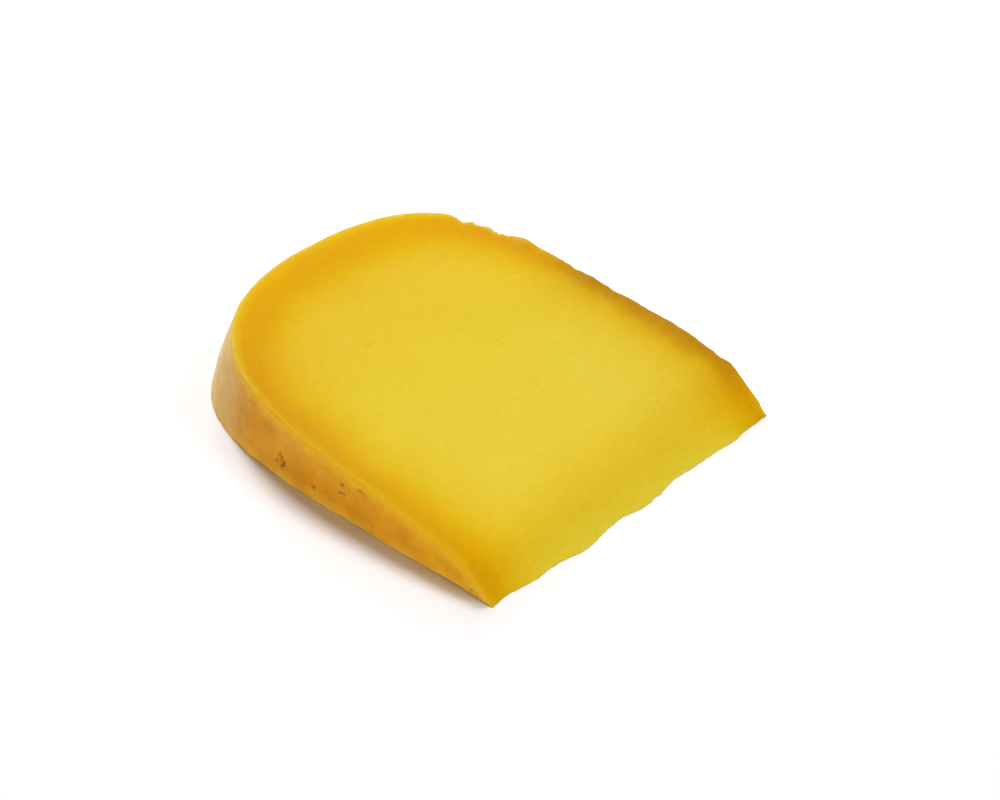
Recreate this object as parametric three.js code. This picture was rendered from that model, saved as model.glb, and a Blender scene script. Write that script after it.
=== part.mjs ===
// A wedge of semi-hard cheese, cut from a small wheel and lying on one of its two cut faces.
//
// +X runs from the rim of the wheel to the thin tip of the wedge, +Y runs across the wheel from
// one of its flat faces to the other, and +Z is up. The origin is the middle of the wedge's box,
// on the lower cut. Lengths are in millimetres.
//
// The functions below work with two distances: "inward", from the tip towards the rim, and
// "across", from the middle of the wheel's height towards the flat face on the +Y side.

import * as THREE from "three";
import { ParametricGeometry } from "three/addons/geometries/ParametricGeometry.js";
import { mergeVertices } from "three/addons/utils/BufferGeometryUtils.js";

// The wheel that the wedge was cut from, and its axis, which lies under the tip.
const WHEEL_HEIGHT = 100; // between the wheel's two flat faces
const WHEEL_RADIUS = 125.7;
const AXIS_DEPTH = 34; // how far the lower cut passes above the wheel's axis

// The wheel's two flat faces. A higher flatness keeps the face flat closer to the rim, and a
// higher roundness makes a squarer shoulder. The upper cut leaves each of them along a line of
// its own, given by its height over the tip, its slope and how much the wire swayed.
const SWAY_LENGTH = 110;
const NEAR_FACE = {
  side: -1,
  flatness: 6.5,
  roundness: 2.26,
  cut: { start: 5.5, slope: 0.172, sway: 1.1 },
};
const FAR_FACE = {
  side: 1,
  flatness: 10,
  roundness: 2.33,
  cut: { start: 8.7, slope: 0.124, sway: 0.9 },
};

// The tip, trimmed by a steeper cut, which leaves a thin uneven lip on the lower cut.
const TRIM_SLOPE = 0.84;
const TRIM_SHOULDER = 0.8; // rounding where the trim meets the upper cut
const LIP_THICKNESS = 0.5;
const LIP_FADE = 9; // how far in from the tip the lip's unevenness is felt
const LIP_LOBES = [
  { at: -35, spread: 4, out: 0.5 },
  { at: -18, spread: 8, out: 1.6 },
  { at: 2, spread: 5, out: 1.2 },
  { at: 10, spread: 4, out: 0.4 },
  { at: 20, spread: 50, out: 0.5 },
  { at: 36, spread: 4, out: 0.6 },
];

// Flakes that broke off where the upper cut left the rind of the far face.
const CHIP_WIDTH = 5; // how far they reach in from the rind
const CHIPS = [
  { at: 15.5, reach: 4, depth: 0.8 },
  { at: 49, reach: 5, depth: 0.5 },
  { at: 72.5, reach: 5, depth: 0.4 },
  { at: 88, reach: 8.5, depth: 1.9 },
  { at: 96, reach: 4, depth: 1.7 },
];

// The mesh: cross-sections from tip to rim, each a closed loop of points.
const STATIONS = 62;
const CUT_COLUMNS = 18; // along the lower cut, and again along the upper one
const RIND_ROWS = 5; // up each side
const EVEN_STEPS = 3.2; // power that spaces the stations evenly along the flanks and the rim
const SETTLING_PASSES = 12; // rounds for finding where the leaning rind meets the upper cut
const WELD = 1e-3;

const LOOP_POINTS = 2 * (CUT_COLUMNS + RIND_ROWS);

// One bump, 1 in its middle and 0 from one reach away.
function bump(distance, reach) {
  const share = Math.min(Math.abs(distance) / reach, 1);
  return (1 - share ** 2) ** 2;
}

// How far the rind of a face stands from the middle of the wheel: the wheel is a solid of
// revolution, so this depends on the distance from its axis alone.
function rindAcross(face, inward, height) {
  const radius = Math.min(Math.hypot(inward, height + AXIS_DEPTH) / WHEEL_RADIUS, 1);
  const width = (1 - radius ** face.flatness) ** (1 / face.roundness);
  return (face.side * WHEEL_HEIGHT * width) / 2;
}

// A point of the rind at a share of the wedge's length and at a height.
function rindPoint(share, face, height) {
  const inward = share * Math.sqrt(WHEEL_RADIUS ** 2 - (height + AXIS_DEPTH) ** 2);
  return new THREE.Vector3(inward, rindAcross(face, inward, height), height);
}

// The line along which the upper cut leaves a face.
function cutLine({ start, slope, sway }, inward) {
  return start + slope * inward + sway * Math.sin((2 * Math.PI * inward) / SWAY_LENGTH);
}

// How much the chips lower a point of the upper cut.
function chipDrop(inward, across, height) {
  const fromRind = Math.max(rindAcross(FAR_FACE, inward, height) - across, 0);
  const drop = CHIPS.reduce((sum, chip) => sum + chip.depth * bump(inward - chip.at, chip.reach), 0);
  return drop * bump(fromRind, CHIP_WIDTH);
}

// The height of the wedge: the upper cut, or the trim where that is lower.
function cutHeight(inward, across) {
  const near = cutLine(NEAR_FACE.cut, inward);
  const far = cutLine(FAR_FACE.cut, inward);
  const whole = THREE.MathUtils.lerp(near, far, across / WHEEL_HEIGHT + 0.5);
  const cut = whole - chipDrop(inward, across, whole);
  const trim = TRIM_SLOPE * inward;
  const lower = (cut + trim - Math.hypot(cut - trim, TRIM_SHOULDER)) / 2;
  return Math.hypot(Math.max(lower, 0), LIP_THICKNESS);
}

// The height at which the rind meets the upper cut, at a share of the length.
function edgeHeight(share, face) {
  let height = 0;
  for (let pass = 0; pass < SETTLING_PASSES; pass++) {
    const edge = rindPoint(share, face, height);
    height = cutHeight(edge.x, edge.y);
  }
  return height;
}

// How far the lip stands out beyond the tip.
function lipOverhang(across) {
  return LIP_LOBES.reduce(
    (sum, lobe) => sum + lobe.out * Math.exp(-(((across - lobe.at) / lobe.spread) ** 2)),
    0,
  );
}

// A point of the loop round the wedge at a share of its length. The loop runs over the lower
// cut, up the far rind, back over the upper cut and down the near rind. An opening of 0 closes
// it to a line halfway up the lip, and 1 gives it its full height.
function loopPoint(share, opening, place) {
  const foot = ((1 - opening) * LIP_THICKNESS) / 2;
  const opened = (height) => THREE.MathUtils.lerp(LIP_THICKNESS / 2, height, opening);
  const crowded = (part) => (1 - Math.cos(Math.PI * part)) / 2;
  const farTop = opened(edgeHeight(share, FAR_FACE));
  const nearTop = opened(edgeHeight(share, NEAR_FACE));
  if (place <= CUT_COLUMNS) {
    const nearFoot = rindPoint(share, NEAR_FACE, foot);
    return nearFoot.lerp(rindPoint(share, FAR_FACE, foot), crowded(place / CUT_COLUMNS));
  }
  if (place <= CUT_COLUMNS + RIND_ROWS) {
    const level = (place - CUT_COLUMNS) / RIND_ROWS;
    return rindPoint(share, FAR_FACE, THREE.MathUtils.lerp(foot, farTop, level));
  }
  if (place <= 2 * CUT_COLUMNS + RIND_ROWS) {
    const column = (place - CUT_COLUMNS - RIND_ROWS) / CUT_COLUMNS;
    const farEdge = rindPoint(share, FAR_FACE, farTop);
    const point = farEdge.lerp(rindPoint(share, NEAR_FACE, nearTop), crowded(column));
    point.z = opened(cutHeight(point.x, point.y));
    return point;
  }
  const level = (LOOP_POINTS - place) / RIND_ROWS;
  return rindPoint(share, NEAR_FACE, THREE.MathUtils.lerp(foot, nearTop, level));
}

// The whole skin: u goes round the loop and v from the rim, where both rinds meet, to the tip,
// where the last station closes the lip to a rounded edge.
function skinPoint(u, v, target) {
  const station = (1 - v) * STATIONS;
  const opening = Math.min(station, 1);
  const along = Math.max(station - 1, 0) / (STATIONS - 1);
  const share = Math.sin((Math.PI / 2) * along ** EVEN_STEPS) ** (1 / EVEN_STEPS);
  const point = loopPoint(Math.min(share, 1), opening, u * LOOP_POINTS);
  const overhang = lipOverhang(point.y) * Math.exp(-point.x / LIP_FADE);
  const rounding = ((1 - opening) * LIP_THICKNESS) / 2;
  target.set(overhang + rounding - point.x, point.y, point.z);
}

// Welds the seams and drops the triangles that close up to nothing at the tip and the rim.
function closedBody(geometry) {
  geometry.deleteAttribute("normal");
  geometry.deleteAttribute("uv");
  const welded = mergeVertices(geometry, WELD);
  const corners = Array.from(welded.index.array);
  const kept = [];
  for (let i = 0; i < corners.length; i += 3) {
    const [a, b, c] = corners.slice(i, i + 3);
    if (a !== b && b !== c && c !== a) {
      kept.push(a, b, c);
    }
  }
  welded.setIndex(kept);
  return welded;
}

// Moves a body so that the origin is the middle of its box, at its foot.
function centreOnFoot(geometry) {
  geometry.computeBoundingBox();
  const middle = geometry.boundingBox.getCenter(new THREE.Vector3());
  geometry.translate(-middle.x, -middle.y, -geometry.boundingBox.min.z);
}

function cheeseWedge() {
  const geometry = closedBody(new ParametricGeometry(skinPoint, LOOP_POINTS, STATIONS));
  centreOnFoot(geometry);
  geometry.computeVertexNormals();
  const paste = new THREE.MeshStandardMaterial({
    color: 0xe6c536,
    roughness: 0.5,
    metalness: 0,
    flatShading: true,
  });
  const wedge = new THREE.Mesh(geometry, paste);
  wedge.name = "cheese_wedge";
  return wedge;
}

const part = new THREE.Group();
part.add(cheeseWedge());

export default part;
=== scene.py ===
# A wedge of semi-hard cheese from a small wheel, lying on one of its two cut faces.
#
# +X runs from the rim of the wheel to the thin tip, +Y across the wheel from one flat face to
# the other, and +Z up. Shapes are worked out in millimetres and stored in metres. The distance
# from the tip towards the rim is called "inward" here, and the distance from the middle of the
# wheel's height towards its far face "across".

import math

import bpy
import numpy as np
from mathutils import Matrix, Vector


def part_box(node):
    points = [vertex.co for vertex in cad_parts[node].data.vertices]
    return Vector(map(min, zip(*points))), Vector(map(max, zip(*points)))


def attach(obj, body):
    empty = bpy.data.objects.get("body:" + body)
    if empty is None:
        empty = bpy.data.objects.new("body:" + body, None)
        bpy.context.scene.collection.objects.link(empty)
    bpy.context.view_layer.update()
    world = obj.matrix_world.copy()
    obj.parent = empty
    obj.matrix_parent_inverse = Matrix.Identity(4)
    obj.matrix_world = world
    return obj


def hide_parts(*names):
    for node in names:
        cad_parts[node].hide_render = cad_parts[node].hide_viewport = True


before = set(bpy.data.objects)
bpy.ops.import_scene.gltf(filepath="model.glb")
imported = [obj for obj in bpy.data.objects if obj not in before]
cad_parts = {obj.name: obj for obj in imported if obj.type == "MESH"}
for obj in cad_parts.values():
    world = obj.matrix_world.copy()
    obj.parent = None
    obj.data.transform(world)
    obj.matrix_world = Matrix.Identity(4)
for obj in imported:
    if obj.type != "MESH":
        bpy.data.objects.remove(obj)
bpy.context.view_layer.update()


# ---------------------------------------------------------------------------------------------
# The studio: a sheet of white paper on a table, a round soft box high up behind the rim, a
# reflector card below it and weaker lights on the other sides. A long lens looks down over the
# near tip corner.
# ---------------------------------------------------------------------------------------------

MM = 0.001

CAMERA_AZIMUTH = 42.457
CAMERA_ELEVATION = 35.902
CAMERA_DISTANCE = 693.0 * MM
CAMERA_AIM = Vector((6.76, 10.3, 0.0)) * MM
LENS = 100.0
SENSOR_WIDTH = 36.0

PAPER_SIDE = 4.0  # metres, as the lights' widths and distance are
PAPER_FINISH = {
    "Base Color": (0.9, 0.9, 0.9, 1.0),
    "Roughness": 0.9,
    "Specular IOR Level": 0.2,
}
WALLS_FINISH = {"Color": (1.0, 1.0, 1.0, 1.0), "Strength": 0.04}

# Each light's name, its azimuth and elevation in degrees, its width, its watts and its colour.
# The low cards on the camera's side are warm.
DAYLIGHT = (0.98, 1.0, 1.06)
LIGHT_DISTANCE = 1.2
SOFT_LIGHTS = [
    ("key_box", -115, 50, 0.35, 10.7, DAYLIGHT),
    ("back_card", -120, 25, 0.75, 8.6, DAYLIGHT),
    ("side_box", 120, 50, 0.75, 4.8, DAYLIGHT),
    ("side_card", 95, 12, 0.4, 6.2, (1.0, 0.78, 0.52)),
    ("front_card", 15, 12, 0.4, 7.2, (1.0, 0.82, 0.60)),
]


def direction(azimuth, elevation):
    """Unit vector at an azimuth from -Y towards +X and an elevation, both in degrees."""
    turn, lift = math.radians(azimuth), math.radians(elevation)
    return Vector((
        math.sin(turn) * math.cos(lift),
        -math.cos(turn) * math.cos(lift),
        math.sin(lift),
    ))


def look_at(thing, target):
    """Turns a camera or a light so that its -Z axis points at the target."""
    thing.rotation_euler = (target - thing.location).to_track_quat("-Z", "Y").to_euler()


def set_inputs(node, finish):
    """Sets constant values on a node's own sockets."""
    for name, value in finish.items():
        node.inputs[name].default_value = value


def paper_surface():
    """White uncoated paper: even, matt and hardly shiny."""
    paper = bpy.data.materials.new("white_paper")
    paper.use_nodes = True
    set_inputs(paper.node_tree.nodes["Principled BSDF"], PAPER_FINISH)
    return paper


camera_data = bpy.data.cameras.new("camera")
camera_data.lens = LENS
camera_data.sensor_width = SENSOR_WIDTH
camera = bpy.data.objects.new("camera", camera_data)
bpy.context.scene.collection.objects.link(camera)
camera.location = CAMERA_AIM + CAMERA_DISTANCE * direction(CAMERA_AZIMUTH, CAMERA_ELEVATION)
look_at(camera, CAMERA_AIM)
bpy.context.scene.camera = camera

bpy.ops.mesh.primitive_plane_add(size=PAPER_SIDE)
paper_sheet = bpy.context.object
paper_sheet.name = "paper_sheet"
paper_sheet.data.materials.append(paper_surface())

for name, azimuth, elevation, width, watts, colour in SOFT_LIGHTS:
    light_data = bpy.data.lights.new(name, "AREA")
    light_data.shape = "DISK"
    light_data.size = width
    light_data.energy = watts
    light_data.color = colour
    soft_light = bpy.data.objects.new(name, light_data)
    soft_light.location = LIGHT_DISTANCE * direction(azimuth, elevation)
    look_at(soft_light, Vector((0.0, 0.0, 0.0)))
    bpy.context.scene.collection.objects.link(soft_light)

white_walls = bpy.data.worlds.new("white_walls")
white_walls.use_nodes = True
set_inputs(white_walls.node_tree.nodes["Background"], WALLS_FINISH)
bpy.context.scene.world = white_walls
bpy.context.scene.view_settings.view_transform = "Standard"


# ---------------------------------------------------------------------------------------------
# The wedge: pressed, ripened curd, cut with a long knife from a wheel that bulges a little at
# its shoulders. The thin tip was trimmed by a steeper cut, which left a ragged lip on the lower
# cut face, and the brittle upper edge of the far rind broke off in places.
# ---------------------------------------------------------------------------------------------

WHEEL_HEIGHT = 100.0
HALF_WHEEL = WHEEL_HEIGHT / 2
WHEEL_RADIUS = 125.7
AXIS_DEPTH = 34.0  # how far the lower cut passes above the wheel's axis
SWAY_LENGTH = 110.0  # one sway of the knife to the side and back

# A higher flatness keeps a face flat closer to the rim, and a higher roundness makes a squarer
# shoulder. The upper cut leaves each face along a line with its own start, slope and sway.
NEAR_FACE = dict(side=-1, flatness=6.5, roundness=2.26, start=5.5, slope=0.172, sway=1.1)
FAR_FACE = dict(side=1, flatness=10.0, roundness=2.33, start=8.7, slope=0.124, sway=0.9)

TRIM_SLOPE = 0.84
TRIM_SHOULDER = 0.8  # rounding where the trim meets the upper cut, at the rinds
SHOULDER_SWELL = 1.9  # and how much softer it is half-way between them

# The trim is fuller beside the far rind, from a little way in from the tip on, and beside the
# near one in one place.
FAR_FULLNESS = 1.25
FAR_FULLNESS_START = 2.6
FAR_FULLNESS_WIDTH = 14.0
NEAR_FULLNESS = 0.4
NEAR_FULLNESS_PLACE = 5.5
NEAR_FULLNESS_REACH = 5.0
NEAR_FULLNESS_WIDTH = 12.0

LIP_THICKNESS = 0.22
LIP_FADE = 9.0  # how far in from the tip the lip's unevenness is felt
LIP_NOSE = 0.1  # how far the lip's rounded front stands out at its foot
NOSE_FADE = 0.4

# The lip's lobes: the place along the tip, the spread and how far each stands out.
LIP_LOBES = [
    (-44.7, 3.4, -0.6),
    (-35.0, 4.0, 0.5),
    (-22.0, 3.0, 0.3),
    (-18.0, 8.0, 1.6),
    (-12.5, 3.2, -0.4),
    (-6.0, 2.2, -0.3),
    (2.0, 5.0, 1.2),
    (7.6, 1.2, 0.35),
    (10.0, 4.0, 0.4),
    (14.5, 4.4, -0.55),
    (20.0, 50.0, 0.5),
    (36.0, 4.0, 0.6),
]

# Random unevenness is a list of layers, each with its height, its size and a seed. The lip's
# layers are shares of its raggedness.
LIP_RAGGEDNESS = 0.12
LIP_RAGS = [(0.6, 3.5, 13), (0.4, 1.5, 14)]

# Flakes that broke off the far rind: the distance from the tip, the reach along the edge and
# how far each reaches in. They run out down the rind, the deeper ones further.
CHIPS = [
    (14.8, 2.6, 0.5),
    (48.9, 2.5, 0.4),
    (62.0, 2.2, 0.35),
    (83.8, 3.2, 1.3),
    (87.2, 3.6, 1.8),
    (91.3, 2.6, 1.9),
    (95.2, 3.4, 2.15),
    (98.0, 1.6, 0.6),
]
SHORTEST_FALL = 1.2
FALL_PER_DEPTH = 1.9
FALL_POWER = 1.5
SPLINTERS = [(0.09, 1.6, 11), (0.07, 4.0, 12)]
SPLINTER_SQUASH = 1.2  # how much shorter they are down the rind than along it
FRAYING_ENDS = (105.0, 95.0)  # where the frayed edge runs out at the rim

# Slow rises of the upper cut along the far rind: the distance from the tip, the reach along the
# edge and the rise. All of them die away at one distance in from the rind.
EDGE_WIDTH = 7.0
EDGE_SWELLS = [
    (78.5, 4.0, 0.6),
    (73.0, 11.0, 0.38),
    (56.0, 3.0, 0.3),
    (30.0, 9.0, 0.5),
    (23.5, 5.5, 0.5),
    (9.0, 4.0, 0.5),
]

# The edges between the side and the two cut faces are rounded, but by no more than a share of
# the height there, and worn stretches of the upper one are rounder.
TOP_ROUNDING = 0.35
TOP_WEAR = [(0.5, 9.0, 15)]
TOP_MOST = 0.5
FOOT_ROUNDING = 0.4
FOOT_MOST = 0.15

# The mesh: rings round the side, and a grid inside the last ring on each of the two cut faces.
# The rings on the cut faces are given by their distance from the edge, and on the upper one
# also by the share of the flakes' reach that still shows in them.
ACROSS_CELLS = 174
ALONG_CELLS = 160
SIDE_LEVELS = 34
FOOT_INSETS = [3.0, 2.2, 1.5, 0.9]
FOOT_CORNER_RINGS = 5
TOP_CORNER_RINGS = 8
TOP_INSETS = [(1.1, 0.85), (1.6, 0.7), (2.2, 0.5), (3.0, 0.25)]
FOOT_RINGS = len(FOOT_INSETS)
TOP_RINGS = len(TOP_INSETS)
FLANK_SHARE = 0.305  # of the rind's length, from a tip corner to the wheel's shoulder
WALK_POWER = 2.3  # how the walk round the rind slows down towards the rim
FINE_STEPS = 20001  # of the walk while it is measured
SETTLING_ROUNDS = 12  # for finding where the leaning rind meets the upper cut


def bump(distance, reach):
    """1 in the middle and 0 from one reach away: one less the square of the share, squared."""
    return (1 - np.minimum(np.abs(distance) / reach, 1) ** 2) ** 2


def smooth_step(value, start, end):
    """0 up to the start, 1 from the end on and an S-curve between, three squares less two
    cubes. It runs the other way where the end is the lower of the two."""
    share = np.clip((value - start) / (end - start), 0, 1)
    return share ** 2 * (3 - 2 * share)


def cloud(points, size, seed, waves=32):
    """A smooth random field, mostly between -1 and 1: the sum of many plane waves, each with its
    own direction, its own start and a length near the given size."""
    chance = np.random.default_rng(seed)
    directions = chance.normal(size=(waves, 3))
    directions /= np.linalg.norm(directions, axis=1)[:, None]
    lengths = size * chance.uniform(0.7, 1.4, waves)
    starts = chance.uniform(0, 2 * np.pi, waves)
    turns = 2 * np.pi * points @ (directions / lengths[:, None]).T + starts
    return np.cos(turns).sum(axis=1) / math.sqrt(waves)


def layered(points, layers):
    """Random unevenness: the sum of its clouds, each times its height."""
    return sum(rise * cloud(points, size, seed) for rise, size, seed in layers)


def rind_across(face, inward, height):
    """Distance of a face's rind from the middle of the wheel. The wheel is a solid of
    revolution, so it depends on the distance from the axis alone, as a superellipse does."""
    radius = np.minimum(np.hypot(inward, height + AXIS_DEPTH) / WHEEL_RADIUS, 1)
    width = (1 - radius ** face["flatness"]) ** (1 / face["roundness"])
    return face["side"] * HALF_WHEEL * width


def cut_line(face, inward):
    """Height at which the upper cut leaves a face: a straight slope with one slow sway."""
    sway = face["sway"] * np.sin(2 * np.pi * inward / SWAY_LENGTH)
    return face["start"] + face["slope"] * inward + sway


def edge_swell(inward, across):
    """Rise of the upper cut near the far rind: a bump along the edge and one across it."""
    along = sum(rise * bump(inward - at, reach) for at, reach, rise in EDGE_SWELLS)
    return along * bump(HALF_WHEEL - across, EDGE_WIDTH)


def trim_height(inward, across):
    """Height of the steeper cut at the tip: a straight slope, with the fullness of its sides."""
    far = FAR_FULLNESS * smooth_step(inward, 0, FAR_FULLNESS_START)
    near = NEAR_FULLNESS * bump(inward - NEAR_FULLNESS_PLACE, NEAR_FULLNESS_REACH)
    trim = TRIM_SLOPE * inward + far * bump(HALF_WHEEL - across, FAR_FULLNESS_WIDTH)
    return trim + near * bump(HALF_WHEEL + across, NEAR_FULLNESS_WIDTH)


def cut_height(inward, across):
    """Height of the upper cut, or of the trim where that is lower, rounded between the two."""
    share = across / WHEEL_HEIGHT + 0.5
    cut = (1 - share) * cut_line(NEAR_FACE, inward) + share * cut_line(FAR_FACE, inward)
    cut = cut + edge_swell(inward, across)
    trim = trim_height(inward, across)
    rounding = TRIM_SHOULDER + SHOULDER_SWELL * (1 - np.minimum(2 * across / WHEEL_HEIGHT, 1) ** 2)
    lower = (cut + trim - np.hypot(cut - trim, rounding)) / 2
    return np.hypot(np.maximum(lower, 0), LIP_THICKNESS)


def broken_away(inward, below):
    """How far the flakes reach in on the far rind, at a distance from the tip and below the
    upper edge: their depth there, which runs out downwards, and an uneven fraying on top."""
    depth = sum(depth * bump(inward - at, reach) for at, reach, depth in CHIPS)
    left = np.clip(1 - below / (SHORTEST_FALL + FALL_PER_DEPTH * depth), 0, 1) ** FALL_POWER
    surface = np.stack([inward, 0 * inward, SPLINTER_SQUASH * below], axis=1)
    splinters = layered(surface, SPLINTERS)
    frayed = np.maximum(splinters, 0) * smooth_step(inward, *FRAYING_ENDS)
    return left * depth * (1 + splinters) + frayed * np.clip(1 - below / SHORTEST_FALL, 0, 1)


def lip_overhang(across):
    """How far the lip stands out beyond the tip: a sum of bell curves along it, made ragged."""
    lobes = sum(out * np.exp(-(((across - at) / spread) ** 2)) for at, spread, out in LIP_LOBES)
    line = np.stack([0 * across, across, 0 * across], axis=1)
    return lobes + LIP_RAGGEDNESS * layered(line, LIP_RAGS)


def lip_nose(inward, height):
    """How much further the lip's rounded front stands out: a quarter of an ellipse up the lip,
    which dies away behind the tip."""
    front = LIP_NOSE * np.sqrt(1 - np.clip(height / LIP_THICKNESS, 0, 1) ** 2)
    return front * np.exp(-np.maximum(inward, 0) / NOSE_FADE)


def rind_walk(walk, height):
    """Plan place on the rind at a height. The walk goes from -1 at the near tip corner over 0
    at the middle of the rim to 1 at the far tip corner, and the distance inward is the rim's,
    less its share by a power of the walk."""
    reach = np.sqrt(WHEEL_RADIUS ** 2 - (height + AXIS_DEPTH) ** 2)
    inward = (1 - np.abs(walk) ** WALK_POWER) * reach
    near = rind_across(NEAR_FACE, inward, height)
    far = rind_across(FAR_FACE, inward, height)
    return inward, np.where(walk < 0, near, far)


def even_walk():
    """Steps of the walk whose places lie evenly along the two flanks and the rim."""
    fine = np.linspace(-1, 1, FINE_STEPS)
    inward, across = rind_walk(fine, 0.0)
    length = np.concatenate([[0], np.cumsum(np.hypot(np.diff(inward), np.diff(across)))])
    length /= length[-1]
    flank = np.linspace(0, FLANK_SHARE, ALONG_CELLS + 1)
    rim = np.linspace(FLANK_SHARE, 1 - FLANK_SHARE, ACROSS_CELLS + 1)
    stops = np.concatenate([flank[:-1], rim, 1 - flank[-2::-1]])
    return np.interp(stops, length, fine)


# A ring goes along the near flank, the rim and the far flank, and then back along the tip.
WALK = even_walk()
RIND_POINTS = len(WALK)
TIP_ACROSS = np.linspace(1, -1, ACROSS_CELLS + 1)[1:-1] * HALF_WHEEL
RING = RIND_POINTS + len(TIP_ACROSS)
MIDDLE = np.array([math.sqrt(WHEEL_RADIUS ** 2 - AXIS_DEPTH ** 2) / 2, 0.0])
HALF_SIZE = np.array([MIDDLE[0], HALF_WHEEL])


def side_ring(height, edge, broken=1.0):
    """One ring round the wedge's side at a height below the upper edge: the rind, less a share
    of what broke off it, and then back along the tip."""
    inward, across = rind_walk(WALK, height[:RIND_POINTS])
    below = (edge - height)[:RIND_POINTS]
    across = across - (WALK > 0) * broken * broken_away(inward, below)
    inward = np.concatenate([inward, np.zeros(len(TIP_ACROSS))])
    across = np.concatenate([across, TIP_ACROSS])
    return np.stack([inward, across, height], axis=1)


def inset(ring, distance):
    """A ring drawn in by a distance: its places shrink towards the middle of the wedge in
    proportion to their distance from it, lengthways and crossways."""
    drawn = ring.copy()
    share = 1 - distance[:, None] / HALF_SIZE
    drawn[:, :2] = MIDDLE + (ring[:, :2] - MIDDLE) * share
    return drawn


def on_cut(ring):
    """The same plan places, on the upper cut."""
    return np.stack([ring[:, 0], ring[:, 1], cut_height(ring[:, 0], ring[:, 1])], axis=1)


def over_corner(start, corner, end, part):
    """A quadratic curve from start to end that turns at the corner."""
    return (1 - part) ** 2 * start + 2 * part * (1 - part) * corner + part ** 2 * end


def edge_heights():
    """Height of the upper edge round the ring, found by letting the leaning rind settle."""
    height = np.zeros(RING)
    for _ in range(SETTLING_ROUNDS):
        ring = side_ring(height, height)
        height = cut_height(ring[:, 0], ring[:, 1])
    return height


EDGE = edge_heights()


def wedge_rings():
    """All rings from the lower cut face, round the foot, up the side and over the upper edge
    to the upper cut face."""
    foot = side_ring(np.zeros(RING), EDGE)
    top = side_ring(EDGE, EDGE)
    foot_round = np.minimum(FOOT_ROUNDING, FOOT_MOST * EDGE)
    top_round = np.minimum(TOP_ROUNDING * (1 + layered(top, TOP_WEAR)), TOP_MOST * EDGE)
    rings = []
    for distance in FOOT_INSETS:
        rings.append(inset(foot, np.full(RING, distance)))
    for part in np.linspace(0, 1, FOOT_CORNER_RINGS):
        start = inset(foot, foot_round)
        rings.append(over_corner(start, foot, side_ring(foot_round, EDGE), part))
    for level in np.linspace(0, 1, SIDE_LEVELS + 1)[1:-1]:
        rings.append(side_ring(foot_round + level * (EDGE - top_round - foot_round), EDGE))
    drawn = on_cut(inset(top, top_round))
    for part in np.linspace(0, 1, TOP_CORNER_RINGS):
        rings.append(over_corner(side_ring(EDGE - top_round, EDGE), top, drawn, part))
    for distance, broken in TOP_INSETS:
        smoother = side_ring(EDGE, EDGE, broken)
        rings.append(on_cut(inset(smoother, np.full(RING, distance))))
    return np.array(rings)


def grid_numbers(first_of_ring, first_inside):
    """Vertex numbers of a face's grid: its border is a ring, and its inside is numbered on."""
    along, across = ALONG_CELLS, ACROSS_CELLS
    ring = first_of_ring + np.arange(RING)
    grid = np.zeros((along + 1, across + 1), int)
    grid[:, 0] = ring[: along + 1]
    grid[-1, :] = ring[along : along + across + 1]
    grid[:, -1] = ring[along + across : 2 * along + across + 1][::-1]
    grid[0, :] = np.concatenate([ring[2 * along + across :], ring[:1]])[::-1]
    grid[1:-1, 1:-1] = first_inside + np.arange((along - 1) * (across - 1)).reshape(along - 1, -1)
    return grid


def sine_waves(count):
    """All sine waves that fit on a row of inner points, and how stiff each of them is."""
    steps = np.arange(1, count + 1)
    waves = math.sqrt(2 / (count + 1)) * np.sin(math.pi * np.outer(steps, steps) / (count + 1))
    return waves, 2 - 2 * np.cos(math.pi * steps / (count + 1))


def face_grid(ring):
    """Places inside a ring, spread like a rubber sheet stretched over it: each is the mean of
    its four neighbours. The sheet is solved as a sum of sine waves along and across."""
    numbers = grid_numbers(0, RING)
    on_ring = numbers < RING
    grid = np.zeros((*numbers.shape, 3))
    grid[on_ring] = ring[numbers[on_ring]]
    pull = grid[:-2, 1:-1] + grid[2:, 1:-1] + grid[1:-1, :-2] + grid[1:-1, 2:]
    along_waves, along_stiffness = sine_waves(ALONG_CELLS - 1)
    across_waves, across_stiffness = sine_waves(ACROSS_CELLS - 1)
    stiffness = along_stiffness[:, None] + across_stiffness
    for axis in range(3):
        swung = along_waves @ pull[..., axis] @ across_waves / stiffness
        grid[1:-1, 1:-1, axis] = along_waves @ swung @ across_waves
    return grid


def quads(grid):
    """Corner numbers of the cells of a grid."""
    cells = [grid[:-1, :-1], grid[1:, :-1], grid[1:, 1:], grid[:-1, 1:]]
    return np.stack(cells, axis=-1).reshape(-1, 4)


rings = wedge_rings()
ring_count = len(rings)
ring_points = ring_count * RING
lower_face = face_grid(rings[0])[1:-1, 1:-1].reshape(-1, 3)
upper_face = on_cut(face_grid(rings[-1])[1:-1, 1:-1].reshape(-1, 3))
places = np.concatenate([rings.reshape(-1, 3), lower_face, upper_face])
first_upper_point = ring_points + len(lower_face)

ring_numbers = np.arange(ring_points).reshape(ring_count, RING)
ring_numbers = np.concatenate([ring_numbers, ring_numbers[:, :1]], axis=1)
side_cells = quads(ring_numbers)
lower_cells = quads(grid_numbers(0, ring_points))
upper_cells = quads(grid_numbers(ring_points - RING, first_upper_point))[:, ::-1]
cells = np.concatenate([side_cells, lower_cells, upper_cells])

node_low, node_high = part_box("cheese_wedge")
place_of_tip = node_low.x / MM + 2 * MIDDLE[0]
inward, across, height = places.T
overhang = lip_overhang(across) * np.exp(-np.maximum(inward, 0) / LIP_FADE)
shape = places.copy()
shape[:, 0] = place_of_tip - inward + overhang + lip_nose(inward, height)

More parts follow.
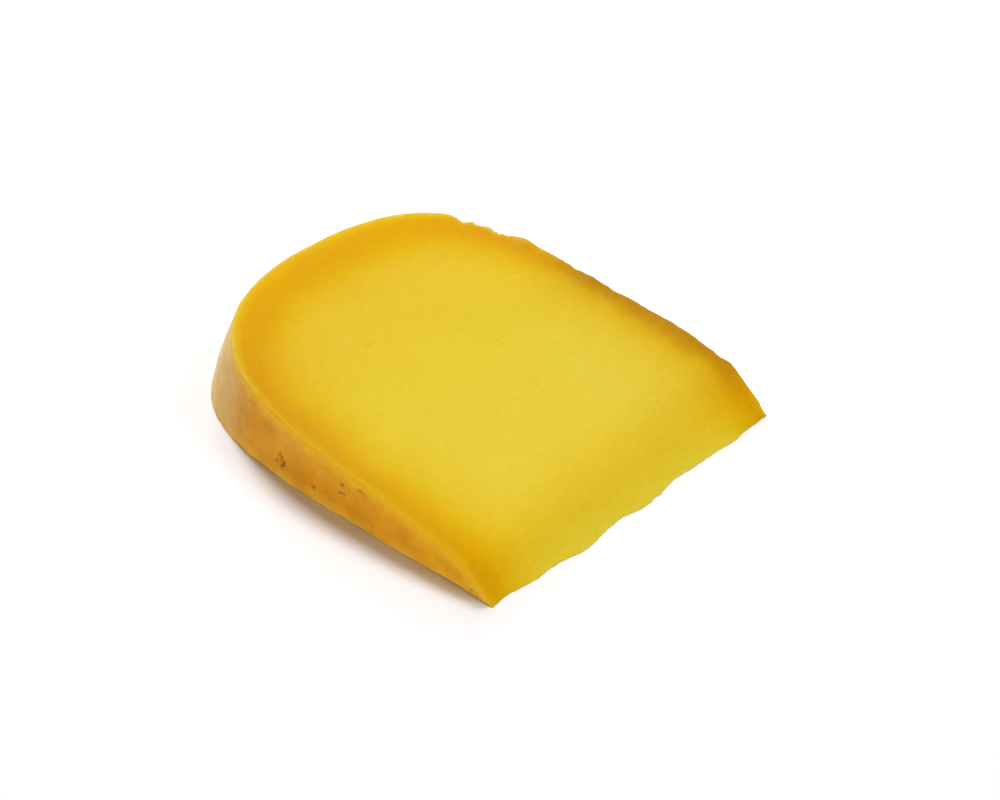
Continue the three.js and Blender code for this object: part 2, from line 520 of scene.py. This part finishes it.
wedge_mesh = bpy.data.meshes.new("cheese_wedge_cut")
wedge_mesh.from_pydata((shape * MM).tolist(), [], cells.tolist())
wedge_mesh.shade_smooth()
wedge = bpy.data.objects.new("cheese_wedge_cut", wedge_mesh)
bpy.context.scene.collection.objects.link(wedge)


# ---------------------------------------------------------------------------------------------
# The marks on it: the rind's slow waves from the press cloth and the shelf, its pits, the few
# small eyes of the cut faces, and the roughness of what broke. Each is pressed into the mesh,
# and what ripened, dried, rubbed or broke differently, and where a highlight or sheen is painted,
# is stored with it.
# ---------------------------------------------------------------------------------------------

# Unevenness of the rind, of the cut faces with the knife's long drag, and of what crumbled.
RIND_WAVES = [(0.11, 16.0, 21), (0.05, 4.5, 22), (0.02, 1.8, 23)]
RIND_SINK = 0.07  # keeps the waves under the wheel's own face
CUT_WAVES = [(0.06, 30.0, 24), (0.018, 6.0, 25)]
KNIFE_DRAG = [(0.01, 2.4, 26)]
DRAG_STRETCH = np.array([1.0, 0.06, 1.0])
CRUMBS = [(0.12, 1.6, 27), (0.07, 0.9, 28)]
RIND_START = 1.2  # below the upper edge, where the rind's waves have set in
SMOOTH_TIP = 8.0  # from the tip, where the cut's waves have set in
WHOLE_TIP = 3.0  # from the tip, where nothing crumbled yet
RIND_LOST = (0.1, 0.5)  # depths of a flake from which the rind is gone
CRUMBLED = (0.1, 0.8)  # and from which the place is crumbly

# Pits of the near rind: distance from the tip, height, radius and depth.
RIND_PITS = [
    (69.9, 6.6, 0.9, 0.3),
    (68.6, 5.2, 0.7, 0.2),
    (69.5, 3.9, 0.8, 0.3),
    (71.3, 4.7, 0.6, 0.2),
    (58.0, 3.9, 0.7, 0.12),
    (47.8, 9.9, 0.7, 0.25),
    (47.8, 7.3, 0.7, 0.2),
    (43.1, 10.7, 0.6, 0.2),
    (41.4, 11.3, 0.7, 0.2),
    (6.6, 1.4, 0.7, 0.25),
    (4.9, 0.9, 0.6, 0.2),
]
PIT_RUNOUT = 1.7  # how much further than its radius each of them runs out

# Smaller pits scattered over the whole rind, each at a share of the height there.
MORE_PITS = 70
MORE_PITS_SEED = 31
MORE_PITS_WALK = (-0.98, 0.98)
MORE_PITS_LEVEL = (0.06, 0.94)
MORE_PITS_RADIUS = (0.35, 0.8)
MORE_PITS_DEPTH = (0.04, 0.16)
MORE_PITS_DUST = 0.6  # that they hold, where a larger pit holds 1

# Eyes of the cut faces: distance from the tip, place across, radius and depth.
UPPER_EYES = [
    (75.6, -12.0, 1.3, 0.22),
    (45.3, 22.4, 1.1, 0.2),
    (6.3, 38.4, 1.0, 0.15),
    (88.5, 14.0, 0.8, 0.1),
    (31.0, -9.0, 0.9, 0.12),
]
LOWER_EYES = [
    (60.0, 20.0, 1.4, 0.25),
    (84.0, -18.0, 1.1, 0.2),
    (33.0, -26.0, 1.2, 0.2),
]
LOWER_CLEARANCE = 0.04  # of the lower cut face over the table, inside its edge

# A name with INWARD or ACROSS gives the two distances between which something sets in: here
# the flakes at the rim, and the rim with its deeper dry zone.
CHIPS_INWARD = (106.0, 98.0)
RIM_INWARD = (78.0, 110.0)
DEEPER_UNDER_RIM = 0.6
BROKEN_SHOWS = 3.0  # the depth under the rind that broken places on the side start from
LINE_STEPS = 2401  # along the edges from which that depth is measured
BATCHES = 60  # of places, measured one after another to save memory

# How brown the dry zone is everywhere but under the rim, and how much more on the far flank.
BROWN = 0.35
BROWN_FAR = 0.65
BROWN_ACROSS = (0.0, 30.0)
BROWN_INWARD = (3.0, 14.0)
BROWN_ENDS_INWARD = (56.0, 77.0)

# The paler border along the rim, partly a dried edge and partly a painted highlight: its strength
# and width, and how much more where flakes broke.
PALE = 0.22
PALE_MORE = 0.06
PALE_INWARD = (62.0, 96.0)
PALE_WIDTH = (0.1, 1.6)
PALE_WIDER = 0.4
PALE_CLOUDS = [(0.5, 5.0, 32)]
FLAKED_ACROSS = (10.0, 40.0)
BROKEN_EDGE_RING = 2  # of the upper edge's rounding, which follows the broken line

# A pale painted sheen on the rind at the rim, standing for its reflection of the light.
PAINTED_SHEEN_INWARD = (81.0, 99.0)
PAINTED_SHEEN_ACROSS = (-15.0, 35.0)
PAINTED_SHEEN_LESS = 0.6


def keep(name, values):
    """Stores one value for each vertex of the wedge under a name that a material can read."""
    stored = wedge_mesh.attributes.new(name, "FLOAT", "POINT")
    stored.data.foreach_set("value", values.astype(np.float32))


def distance_to_line(points, line):
    """Smallest plan distance from each point to a line given by closely spaced points."""
    nearest = [
        np.hypot(some[:, None, 0] - line[0], some[:, None, 1] - line[1]).min(axis=1)
        for some in np.array_split(points, BATCHES)
    ]
    return np.concatenate(nearest)


def dents(at, marks):
    """Depth and strength of a set of round marks: the deepest bump at each place."""
    depth = np.zeros(len(at))
    strength = np.zeros(len(at))
    for *centre, radius, deep in marks:
        shape_of_mark = bump(np.linalg.norm(at - np.array(centre), axis=1), radius)
        depth = np.maximum(depth, deep * shape_of_mark)
        strength = np.maximum(strength, shape_of_mark)
    return depth, strength


# Where each place is: its ring, its number in that ring, and which surface it belongs to. The
# side takes in the rounded edges, and so do the top and the foot.
first_top_ring = ring_count - TOP_RINGS - TOP_CORNER_RINGS
ring_of = np.full(len(places), -1)
ring_of[:ring_points] = np.repeat(np.arange(ring_count), RING)
round_ring = np.full(len(places), RING)
round_ring[:ring_points] = np.tile(np.arange(RING), ring_count)
on_side = round_ring < RIND_POINTS
on_side &= (ring_of >= FOOT_RINGS) & (ring_of < ring_count - TOP_RINGS)
is_top = (ring_of >= first_top_ring) | (np.arange(len(places)) >= first_upper_point)
is_foot = (ring_of < FOOT_RINGS + FOOT_CORNER_RINGS) & ~is_top
is_lower = is_foot & ~on_side
between = on_side & ~is_top & ~is_foot
on_tip = (ring_of >= 0) & (round_ring >= RIND_POINTS) & ~is_top & ~is_foot

# How high the upper edge is over each place of the rings and how far below it the side's places
# are, and how far the flakes left them short of the unbroken rind.
edge_above = np.where(ring_of >= 0, EDGE[np.minimum(round_ring, RING - 1)], 0)
below_edge = np.where(on_side, edge_above - height, 0)
far_rind = rind_across(FAR_FACE, inward, height)
chipped = np.where(on_side & (across > 0), np.maximum(far_rind - across, 0), 0)
chipped *= smooth_step(inward, *CHIPS_INWARD)

# How far each place lies under the unbroken rind.
fine_walk = np.linspace(-1, 1, LINE_STEPS)
edge_line = rind_walk(fine_walk, np.interp(fine_walk, WALK, EDGE[:RIND_POINTS]))
foot_line = rind_walk(fine_walk, np.zeros(LINE_STEPS))
under_rind = np.zeros(len(places))
under_rind[is_top] = distance_to_line(places[is_top], edge_line)
under_rind[is_foot] = distance_to_line(places[is_foot], foot_line)
under_rind[between] = BROKEN_SHOWS + chipped[between]
under_rind[on_tip] = (HALF_WHEEL - np.abs(across))[on_tip]

# The dry zone reaches deeper under the rim than under the flanks, and the far flank is browner.
rim_share = smooth_step(inward, *RIM_INWARD)
far_flank = smooth_step(inward, *BROWN_INWARD) * (1 - smooth_step(inward, *BROWN_ENDS_INWARD))
browned = BROWN * (1 - rim_share) + BROWN_FAR * smooth_step(across, *BROWN_ACROSS) * far_flank

# Along the rim the outermost millimetre of the upper cut is paler, partly as a dried edge and
# partly as a painted highlight, most of all where flakes broke off.
broken_edge = rings[first_top_ring + BROKEN_EDGE_RING, :RIND_POINTS].T
from_edge = np.full(len(places), np.inf)
from_edge[is_top] = distance_to_line(places[is_top], broken_edge)
flaked = smooth_step(across, *FLAKED_ACROSS)
pale = (PALE + PALE_MORE * flaked) * smooth_step(inward, *PALE_INWARD)
pale *= 1 - smooth_step(from_edge, PALE_WIDTH[0], PALE_WIDTH[1] + PALE_WIDER * flaked)
pale *= 1 + layered(places, PALE_CLOUDS)

# A pale painted sheen on the rind at the rim, standing for its reflection, and less of it towards
# the far flank.
painted_sheen = smooth_step(inward, *PAINTED_SHEEN_INWARD) * (1 - PAINTED_SHEEN_LESS * smooth_step(across, *PAINTED_SHEEN_ACROSS))

# Waves and crumbs.
rind_share = np.where(on_side, smooth_step(below_edge, 0, RIND_START), 0)
rind_share *= 1 - smooth_step(chipped, *RIND_LOST)
rind_waves = layered(shape, RIND_WAVES) - RIND_SINK
cut_waves = layered(shape, CUT_WAVES) + layered(shape * DRAG_STRETCH, KNIFE_DRAG)
cut_waves *= smooth_step(inward, 0, SMOOTH_TIP)
crumbled = smooth_step(chipped, *CRUMBLED) * (inward > WHOLE_TIP)
relief = rind_share * rind_waves + (1 - rind_share) * cut_waves
relief += crumbled * layered(shape, CRUMBS)

# Pits. The listed ones are on the near flank alone, so the far side is put out of their reach.
aside = np.where(across < 0, 0, WHEEL_HEIGHT)
pit_marks = [(at, 0.0, up, PIT_RUNOUT * radius, deep) for at, up, radius, deep in RIND_PITS]
pit_depth, pit = dents(np.stack([inward, aside, height], axis=1), pit_marks)
level = np.divide(height, edge_above, out=np.zeros(len(places)), where=edge_above > 0)
chance = np.random.default_rng(MORE_PITS_SEED)
pit_places = rind_walk(chance.uniform(*MORE_PITS_WALK, MORE_PITS), np.zeros(MORE_PITS))
pit_levels = chance.uniform(*MORE_PITS_LEVEL, MORE_PITS)
pit_radii = chance.uniform(*MORE_PITS_RADIUS, MORE_PITS)
pit_depths = chance.uniform(*MORE_PITS_DEPTH, MORE_PITS)
for at, over, up, radius, deep in zip(*pit_places, pit_levels, pit_radii, pit_depths):
    lifted = (level - up) * np.maximum(edge_above, 1.0)
    away = np.sqrt((inward - at) ** 2 + (across - over) ** 2 + lifted ** 2)
    pit_depth = np.maximum(pit_depth, deep * bump(away, radius))
    pit = np.maximum(pit, MORE_PITS_DUST * bump(away, radius))
pit = pit * rind_share
relief -= rind_share * pit_depth

# Eyes.
upper_depth, upper_eyes = dents(places[:, :2], UPPER_EYES)
lower_depth, lower_eyes = dents(places[:, :2], LOWER_EYES)
eyes = is_top * upper_eyes + is_lower * lower_eyes
relief -= is_top * upper_depth + is_lower * lower_depth

# The relief is pressed in square to the surface, but the lower cut face only gives way upwards,
# and nothing leaves the wedge's box.
outward = np.empty(3 * len(shape), np.float32)
wedge_mesh.vertex_normals.foreach_get("vector", outward)
shape += outward.reshape(-1, 3) * relief[:, None]
hollow = np.maximum(-relief[is_lower], -LOWER_CLEARANCE)
shape[is_lower, 2] = places[is_lower, 2] + LOWER_CLEARANCE + hollow
low = np.array(node_low) / MM
high = np.array(node_high) / MM
shape = np.clip(shape, [low[0], low[1], 0.0], high)
wedge_mesh.vertices.foreach_set("co", (shape * MM).astype(np.float32).ravel())
wedge_mesh.update()

keep("under_rind", under_rind / (1 + DEEPER_UNDER_RIM * rim_share))
keep("browned", browned)
keep("pale", pale)
keep("below_edge", below_edge)
keep("pit", pit)
keep("eye", eyes)
keep("painted_sheen", painted_sheen)
keep("chipped", chipped)


# ---------------------------------------------------------------------------------------------
# The paste: smooth yellow curd. It ripens from outside, so it turns to ochre in the last
# centimetre under the rind, most of all on the far flank. Its cut edge along the rim is a little
# paler, partly as a dried edge and partly as a painted highlight.
# ---------------------------------------------------------------------------------------------

# Linear colours at a depth in mm under the rind: where it ripened gently, and where it browned.
DEPTH_SHOWN = 40.0  # that the two bands cover
GENTLE_BAND = [
    (0.0, (0.72, 0.452, 0.012)),
    (1.2, (0.705, 0.430, 0.001)),
    (2.2, (0.690, 0.370, 0.0)),
    (5.0, (0.680, 0.365, 0.0)),
    (6.5, (0.682, 0.386, 0.0)),
    (8.0, (0.682, 0.417, 0.001)),
    (10.0, (0.689, 0.451, 0.005)),
    (12.5, (0.695, 0.484, 0.015)),
    (17.0, (0.705, 0.514, 0.028)),
    (25.0, (0.698, 0.529, 0.037)),
    (40.0, (0.705, 0.513, 0.036)),
]
BROWNED_BAND = [
    (0.0, (0.418, 0.180, 0.003)),
    (1.0, (0.410, 0.212, 0.006)),
    (2.0, (0.434, 0.216, 0.004)),
    (3.0, (0.471, 0.226, 0.003)),
    (4.0, (0.499, 0.256, 0.004)),
    (5.0, (0.536, 0.305, 0.004)),
    (6.5, (0.583, 0.350, 0.008)),
    (8.0, (0.603, 0.381, 0.012)),
    (10.0, (0.623, 0.415, 0.017)),
    (12.0, (0.634, 0.435, 0.021)),
    (16.0, (0.654, 0.472, 0.030)),
    (25.0, (0.655, 0.499, 0.040)),
    (40.0, (0.635, 0.500, 0.038)),
]
# A pale lemon for the border along the rim: partly a dried edge, partly a painted highlight.
PALE_PASTE = (0.64, 0.72, 0.17, 1.0)
EYE_BROWN = (0.45, 0.27, 0.008, 1.0)

# A range is given by the two ends of a value and by what they are turned into: how much the
# bands waver at a depth, and how much brown is mixed into an eye towards its middle.
CALM_BY_DEPTH = (0.6, 4.0, 0.15, 1.0)
BROWN_BY_EYE = (0.1, 0.9, 0.0, 0.12)

# Tints that multiply the colour: one from the tip to the rim, and one that differs from cloud to
# cloud.
TIP_TO_RIM = 121.0
CURD_TINTS = [
    (0.0, (0.98, 1.07, 1.00)),
    (5.0, (0.99, 1.003, 0.60)),
    (10.0, (1.035, 1.036, 0.80)),
    (20.0, (1.03, 1.043, 1.12)),
    (35.0, (1.01, 1.027, 1.05)),
    (60.0, (0.985, 0.978, 0.68)),
    (85.0, (0.975, 0.911, 0.64)),
    (110.0, (0.958, 0.934, 0.90)),
    (121.0, (1.006, 1.005, 1.0)),
]
DARK_CLOUD = (0.99, 0.975, 0.88, 1.0)
LIGHT_CLOUD = (1.01, 1.02, 1.10, 1.0)

# Random patches: their size in mm, a seed, and the two ends that their value runs between.
WAVER = dict(size=11.0, seed=1.0, detail=2.0, spread=(0.25, 0.75), ends=(-1.3, 1.3))
RIPPLE = dict(size=2.6, seed=2.0, detail=2.0, spread=(0.25, 0.75), ends=(-0.35, 0.35))
CURD_CLOUDS = dict(size=17.0, seed=3.0, ends=(0.0, 1.0))
CURD_GRAINS = dict(size=1.3, seed=4.0, ends=(0.965, 1.03))
PASTE_SHEEN = dict(size=5.0, seed=8.0, detail=4.0, ends=(0.42, 0.56))

# Fine relief: the knife's drag, crumbs and dimples, each with its weight.
PASTE_RELIEF = [
    (0.5, dict(size=1.4, seed=5.0, detail=3.0, stretch=(1.0, 0.05, 1.0))),
    (0.45, dict(size=0.55, seed=6.0, detail=3.0)),
    (1.2, dict(size=3.2, seed=7.0, detail=2.0)),
]
PASTE_RELIEF_DEPTH = 0.12
PASTE_RELIEF_STRENGTH = 0.15

PASTE_FINISH = {
    "Specular IOR Level": 0.02,
    "Subsurface Weight": 0.3,
    "Subsurface Radius": (1.0, 0.6, 0.15),
    "Subsurface Scale": 2.0 * MM,
}


def add(tree, kind, inputs=None, **settings):
    """Adds a shader node with its settings and returns it. Each input, by name or by number, is
    given a value or the output that feeds it."""
    node = tree.nodes.new("ShaderNode" + kind)
    for name, value in settings.items():
        setattr(node, name, value)
    for name, value in (inputs or {}).items():
        if isinstance(value, bpy.types.NodeSocket):
            tree.links.new(value, node.inputs[name])
        else:
            node.inputs[name].default_value = value
    return node


def new_surface(name):
    """A new material, its shader and the place on the piece that its patterns follow."""
    surface = bpy.data.materials.new(name)
    surface.use_nodes = True
    place = add(surface.node_tree, "TexCoord").outputs["Object"]
    return surface, surface.node_tree.nodes["Principled BSDF"], place


def stored_value(tree, name):
    """The value kept for each vertex under a name."""
    return add(tree, "Attribute", attribute_name=name).outputs["Fac"]


def plus(tree, first, second):
    """The sum of two values."""
    return add(tree, "Math", {0: first, 1: second}, operation="ADD").outputs[0]


def times(tree, first, second):
    """The product of two values."""
    return add(tree, "Math", {0: first, 1: second}, operation="MULTIPLY").outputs[0]


def ranged(tree, value, low, high, to_low, to_high):
    """A value moved from one range to another, and held at its ends."""
    return add(tree, "MapRange", {0: value, 1: low, 2: high, 3: to_low, 4: to_high}).outputs[0]


def grain(tree, place, size, seed, detail=3.0, stretch=(1.0, 1.0, 1.0)):
    """Random spots of a size in mm, from 0 to 1, drawn out along the axes with a small stretch."""
    spread = add(tree, "Mapping", {"Vector": place, "Scale": stretch}).outputs[0]
    inputs = {"Vector": spread, "W": seed, "Scale": 1 / (size * MM), "Detail": detail}
    return add(tree, "TexNoise", inputs, noise_dimensions="4D").outputs["Fac"]


def patches(tree, place, ends, spread=(0.3, 0.7), **spots):
    """Random spots that run between two ends over the spread of values that they mostly take."""
    return ranged(tree, grain(tree, place, **spots), *spread, *ends)


def fine_relief(tree, place, layers, strength, depth):
    """A bump of a depth in mm: the sum of several grains, each times its weight."""
    parts = [times(tree, grain(tree, place, **spots), weight) for weight, spots in layers]
    surface = parts[0]
    for part in parts[1:]:
        surface = plus(tree, surface, part)
    inputs = {"Height": surface, "Strength": strength, "Distance": depth * MM}
    return add(tree, "Bump", inputs).outputs[0]


def mixed(tree, share, first, second, blend="MIX"):
    """One colour mixed into another by a share."""
    inputs = {0: share, 6: first, 7: second}
    return add(tree, "Mix", inputs, data_type="RGBA", blend_type=blend).outputs[2]


def tinted(tree, colour, tint):
    """A colour multiplied by a tint."""
    return mixed(tree, 1.0, colour, tint, "MULTIPLY")


def band(tree, share, stops, whole=1.0):
    """A row of colours that run into each other, each with its place on the whole."""
    ramp = add(tree, "ValToRGB", {"Fac": share})
    elements = ramp.color_ramp.elements
    elements[0].position = stops[0][0] / whole
    elements[1].position = stops[-1][0] / whole
    for place, _ in stops[1:-1]:
        elements.new(place / whole)
    for element, (_, colour) in zip(elements, stops):
        element.color = (*colour, 1.0)
    return ramp.outputs["Color"]


def toward_rim(tree, place):
    """Share of the way from the tip to the rim."""
    lengthways = add(tree, "SeparateXYZ", {0: place}).outputs["X"]
    tip = place_of_tip * MM
    return ranged(tree, lengthways, tip, tip - TIP_TO_RIM * MM, 0.0, 1.0)


def paste_surface():
    """Ripened curd, cut: its colour follows the depth under the rind, wavering a little, with
    faint clouds and grains, the drag of the knife, and a soft glow from light inside it."""
    paste, shader, place = new_surface("paste")
    tree = paste.node_tree

    depth = stored_value(tree, "under_rind")
    waver = plus(tree, patches(tree, place, **WAVER), patches(tree, place, **RIPPLE))
    calm = ranged(tree, depth, *CALM_BY_DEPTH)
    depth = plus(tree, depth, times(tree, waver, calm))
    share = ranged(tree, depth, 0.0, DEPTH_SHOWN, 0.0, 1.0)
    gentle = band(tree, share, GENTLE_BAND, DEPTH_SHOWN)
    brown = band(tree, share, BROWNED_BAND, DEPTH_SHOWN)
    colour = mixed(tree, stored_value(tree, "browned"), gentle, brown)

    clouds = mixed(tree, patches(tree, place, **CURD_CLOUDS), DARK_CLOUD, LIGHT_CLOUD)
    colour = tinted(tree, colour, clouds)
    colour = tinted(tree, colour, band(tree, toward_rim(tree, place), CURD_TINTS, TIP_TO_RIM))
    # The paler border along the rim: partly a dried edge, partly a painted highlight.
    colour = mixed(tree, stored_value(tree, "pale"), colour, PALE_PASTE)
    colour = tinted(tree, colour, patches(tree, place, **CURD_GRAINS))
    eye = ranged(tree, stored_value(tree, "eye"), *BROWN_BY_EYE)
    colour = mixed(tree, eye, colour, EYE_BROWN)
    tree.links.new(colour, shader.inputs["Base Color"])

    relief = fine_relief(tree, place, PASTE_RELIEF, PASTE_RELIEF_STRENGTH, PASTE_RELIEF_DEPTH)
    tree.links.new(relief, shader.inputs["Normal"])
    tree.links.new(patches(tree, place, **PASTE_SHEEN), shader.inputs["Roughness"])
    set_inputs(shader, PASTE_FINISH)
    return paste


wedge_mesh.materials.append(paste_surface())


# ---------------------------------------------------------------------------------------------
# The rind: the same curd, pressed in a cloth and dried to a firm ochre skin, under a thin satin
# coat. A pale band under the cut edge is partly worn coat and partly a painted highlight, painted
# light lifts the foot out of its shade, a pale painted sheen on the rim stands for its reflection,
# and the pits hold brown dust.
# ---------------------------------------------------------------------------------------------

# Linear colours of the skin from its darkest clouds to its lightest, and tints that multiply it
# from the tip to the rim.
RIND_TONES = [
    (0.25, (0.566, 0.243, 0.004)),
    (0.42, (0.638, 0.288, 0.006)),
    (0.58, (0.699, 0.329, 0.010)),
    (0.75, (0.755, 0.368, 0.017)),
]
RIND_TINTS = [
    (0.0, (0.99, 1.19, 1.15)),
    (6.0, (1.04, 1.26, 1.35)),
    (14.0, (1.02, 1.17, 1.20)),
    (30.0, (0.97, 1.01, 1.10)),
    (50.0, (0.94, 0.95, 1.00)),
    (70.0, (0.90, 0.95, 1.15)),
    (80.0, (0.87, 0.89, 0.95)),
    (90.0, (0.84, 0.84, 0.80)),
    (105.0, (0.91, 0.92, 1.00)),
    (121.0, (1.00, 1.00, 1.00)),
]
FLECK_BROWN = (0.30, 0.105, 0.012, 1.0)
# A pale beige, painted on the rim as its sheen.
PAINTED_SHEEN_BEIGE = (0.635, 0.486, 0.19, 1.0)
DUST_BROWN = (0.18, 0.055, 0.008, 1.0)
# The band under the cut edge: partly worn coat, partly a painted highlight from above.
WORN_AND_LIT_COAT = (0.705, 0.442, 0.009, 1.0)
# Painted light along the foot, where the rind is in shade and takes the table's light.
PAINTED_FOOT_LIGHT = (0.80, 0.50, 0.06, 1.0)
BARE_PASTE = (0.62, 0.33, 0.004, 1.0)

# How pale the band under the cut edge is at a distance in mm below it: partly worn coat, partly a
# painted highlight from the light above.
EDGE_SHOWN = 5.0
WORN_AND_LIT_SHARES = [(0.0, 0.9), (0.7, 0.8), (2.0, 0.45), (2.8, 0.12), (5.0, 0.0)]

# How much painted light the foot takes at a height over the table, and how much less where the
# sheen is painted, how much dust a pit holds, and how bare a place is where a flake of some depth
# broke off.
FOOT_LIGHT_BY_HEIGHT = (0.5 * MM, 3.6 * MM, 0.95, 0.0)
FOOT_LIGHT_BY_SHEEN = (0.0, 1.0, 1.0, 0.2)
DUST_BY_PIT = (0.08, 0.55, 0.0, 0.8)
BARE_BY_CHIP = (0.06, 0.3, 0.0, 1.0)

# Random patches, given as the paste's are.
RIND_CLOUDS = dict(size=8.0, seed=11.0, detail=4.0)
FLECKS = dict(size=0.9, seed=12.0, spread=(0.62, 0.72), ends=(0.0, 0.35))
FLECKED_PATCHES = dict(size=6.0, seed=13.0, detail=2.0, spread=(0.45, 0.65), ends=(0.0, 1.0))
MOTTLE = dict(size=2.4, seed=22.0, ends=(0.93, 1.07))
# Patches of the painted sheen on the rim.
PAINTED_SHEEN_PATCHES = dict(size=9.0, seed=20.0, ends=(0.55, 0.95))
DUST = dict(size=1.1, seed=21.0, ends=(-0.75, 0.25))
# Waver of the band under the cut edge, which is partly worn coat and partly painted highlight.
WORN_AND_LIT_WAVER = dict(size=3.0, seed=14.0, spread=(0.25, 0.75), ends=(-1.2, 1.2))
# Patches of the painted light along the foot.
FOOT_LIGHT_PATCHES = dict(size=7.0, seed=15.0, detail=2.0, spread=(0.4, 0.6), ends=(0.55, 1.0))
RIND_SHEEN = dict(size=4.0, seed=19.0, ends=(0.38, 0.52))

# Fine relief: the warp and the weft of the press cloth, and crumbs.
RIND_RELIEF = [
    (1.0, dict(size=1.1, seed=17.0, detail=1.0, stretch=(1.0, 1.0, 0.25))),
    (1.0, dict(size=1.1, seed=18.0, detail=1.0, stretch=(0.25, 0.25, 1.0))),
    (0.8, dict(size=0.6, seed=16.0, detail=3.0)),
]
RIND_RELIEF_DEPTH = 0.15
RIND_RELIEF_STRENGTH = 0.35

RIND_FINISH = {
    "Specular IOR Level": 0.08,
    "Subsurface Weight": 0.12,
    "Subsurface Radius": (1.0, 0.45, 0.12),
    "Subsurface Scale": 1.0 * MM,
}


def rind_surface():
    """Dried rind under its coat: clouded ochre with darker flecks and pits, a pale band under the
    cut edge that is partly worn coat and partly painted highlight, painted light along the foot, a
    painted sheen on the rim, and the faint print of the press cloth."""
    rind, shader, place = new_surface("rind")
    tree = rind.node_tree
    # How much painted sheen each place on the rim takes.
    painted_sheen_share = stored_value(tree, "painted_sheen")

    colour = band(tree, grain(tree, place, **RIND_CLOUDS), RIND_TONES)
    colour = tinted(tree, colour, patches(tree, place, **MOTTLE))
    flecks = times(tree, patches(tree, place, **FLECKS), patches(tree, place, **FLECKED_PATCHES))
    colour = mixed(tree, flecks, colour, FLECK_BROWN)
    colour = tinted(tree, colour, band(tree, toward_rim(tree, place), RIND_TINTS, TIP_TO_RIM))
    # A pale painted sheen on the rim, in place of its reflection of the light.
    painted_sheen = times(tree, patches(tree, place, **PAINTED_SHEEN_PATCHES), painted_sheen_share)
    colour = mixed(tree, painted_sheen, colour, PAINTED_SHEEN_BEIGE)
    dust = plus(tree, stored_value(tree, "pit"), patches(tree, place, **DUST))
    colour = mixed(tree, ranged(tree, dust, *DUST_BY_PIT), colour, DUST_BROWN)

    # The pale band under the cut edge: partly worn coat, partly a painted highlight from above.
    depth = plus(tree, stored_value(tree, "below_edge"), patches(tree, place, **WORN_AND_LIT_WAVER))
    depth = ranged(tree, depth, 0.0, EDGE_SHOWN, 0.0, 1.0)
    worn_and_lit = band(tree, depth, [(at, (w, w, w)) for at, w in WORN_AND_LIT_SHARES], EDGE_SHOWN)
    colour = mixed(tree, worn_and_lit, colour, WORN_AND_LIT_COAT)
    # Painted light along the foot: lighter towards the table, where the rind is in shade, and less
    # of it where the sheen is painted.
    up = add(tree, "SeparateXYZ", {0: place}).outputs["Z"]
    foot = ranged(tree, up, *FOOT_LIGHT_BY_HEIGHT)
    outside_painted_sheen = ranged(tree, painted_sheen_share, *FOOT_LIGHT_BY_SHEEN)
    foot_light_share = times(tree, patches(tree, place, **FOOT_LIGHT_PATCHES), outside_painted_sheen)
    colour = mixed(tree, times(tree, foot, foot_light_share), colour, PAINTED_FOOT_LIGHT)
    bare = ranged(tree, stored_value(tree, "chipped"), *BARE_BY_CHIP)
    colour = mixed(tree, bare, colour, BARE_PASTE)
    tree.links.new(colour, shader.inputs["Base Color"])

    relief = fine_relief(tree, place, RIND_RELIEF, RIND_RELIEF_STRENGTH, RIND_RELIEF_DEPTH)
    tree.links.new(relief, shader.inputs["Normal"])
    tree.links.new(patches(tree, place, **RIND_SHEEN), shader.inputs["Roughness"])
    set_inputs(shader, RIND_FINISH)
    return rind


wedge_mesh.materials.append(rind_surface())

# The rind covers the side from the middle of the rounded foot to the middle of the rounded upper
# edge, but not the lip's front nor where flakes broke off.
COVERED_CHIP = 0.3
first_rind_ring = FOOT_RINGS + FOOT_CORNER_RINGS // 2
last_rind_ring = first_top_ring + TOP_CORNER_RINGS // 2
cell_ring, cell_round = np.divmod(np.arange(len(side_cells)), RING)
covered = (cell_ring >= first_rind_ring) & (cell_ring < last_rind_ring)
covered &= cell_round < RIND_POINTS - 1
covered &= chipped[side_cells].mean(axis=1) < COVERED_CHIP
surfaces = np.zeros(len(wedge_mesh.polygons), np.int32)
surfaces[: len(side_cells)] = covered
wedge_mesh.polygons.foreach_set("material_index", surfaces)
wedge_mesh.update()

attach(wedge, "root")
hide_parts("cheese_wedge")
